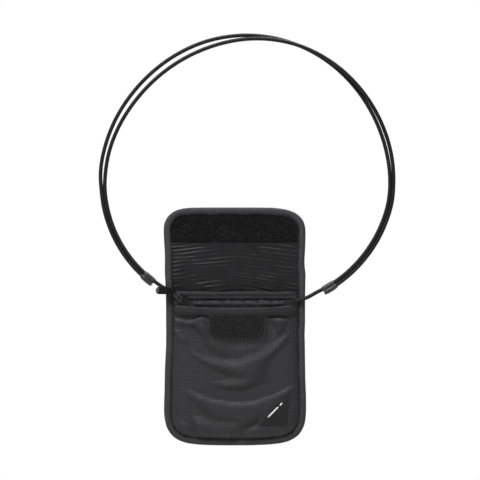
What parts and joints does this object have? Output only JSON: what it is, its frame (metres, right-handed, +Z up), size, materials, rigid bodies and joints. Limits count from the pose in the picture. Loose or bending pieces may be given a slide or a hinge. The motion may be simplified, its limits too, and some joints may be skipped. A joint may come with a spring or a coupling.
{
  "type": "neck pouch wallet",
  "caption": "Flat fabric neck pouch with a fold-over touch-fastened flap, a zipped pocket and an open pocket, on an adjustable braided neck cord.",
  "frame": {"origin": "centre of the back panel's rear face", "axes": "+Z up towards the neck, +X to the right seen from the front, the front faces -Y"},
  "size_m": [0.3154, 0.0122, 0.4392],
  "materials": {
    "nylon": "matt",
    "lining": "matt",
    "binding": "matt",
    "zip_tape": "matt",
    "zip_coil": "satin",
    "slider_metal": "satin",
    "hook_tape": "matt",
    "loop_pile": "matt",
    "label": "satin",
    "thread": "matt",
    "cord": "matt",
    "moulded": "satin"
  },
  "bodies": {
    "pouch": {"back_panel": "nylon", "back_lining": "lining", "pocket_divider": "lining", "zip_pocket_front": "nylon", "front_pocket_panel": "nylon", "mouth_hem": "nylon", "front_pocket_hem": "nylon", "zip_tape_upper": "zip_tape", "zip_tape_lower": "zip_tape", "zip_coil_upper": "zip_coil", "zip_coil_lower": "zip_coil", "zip_end_stops": "zip_coil", "hook_patch": "hook_tape", "corner_label": "label", "body_binding": "binding", "body_seam_thread": "thread", "cord_end_left": "cord", "cord_end_right": "cord"},
    "flap": {"flap_outer": "nylon", "flap_lining": "lining", "loop_field": "loop_pile", "flap_binding": "binding", "flap_seam_thread": "thread"},
    "zip_slider": {"zip_slider_body": "slider_metal"},
    "zip_pull": {"pull_link": "slider_metal", "pull_cord": "cord", "pull_tab": "moulded"},
    "neck_loop": {"cord_a": "cord", "cord_b": "cord"},
    "left_adjuster": {"left_adjuster": "moulded"},
    "right_adjuster": {"right_adjuster": "moulded"}
  },
  "joints": [
    {"name": "flap_fold", "type": "hinge", "parent": "pouch", "child": "flap", "pos_m": [0, -0.008, 0.0905], "axis": [1, 0, 0], "range_deg": [0, 180]},
    {"name": "zip_slide", "type": "slide", "parent": "pouch", "child": "zip_slider", "axis": [1, 0, 0], "range_m": [0, 0.108]},
    {"name": "pull_swing", "type": "hinge", "parent": "zip_slider", "child": "zip_pull", "pos_m": [-0.057, -0.0109, 0.0659], "axis": [0, 0, 1], "range_deg": [0, 180]},
    {"name": "cord_swing", "type": "hinge", "parent": "pouch", "child": "neck_loop", "pos_m": [-0.07679, -0.0066, 0.07882], "axis": [0.9974, 0, -0.0715], "range_deg": [-150, 60]},
    {"name": "left_adjuster_travel", "type": "hinge", "parent": "neck_loop", "child": "left_adjuster", "pos_m": [-0.00588, -0.0066, 0.1912], "axis": [0, 1, 0], "range_deg": [0, 34]},
    {"name": "right_adjuster_travel", "type": "hinge", "parent": "neck_loop", "child": "right_adjuster", "pos_m": [0.02736, -0.0066, 0.19891], "axis": [0, -1, 0], "range_deg": [0, 34]}
  ]
}
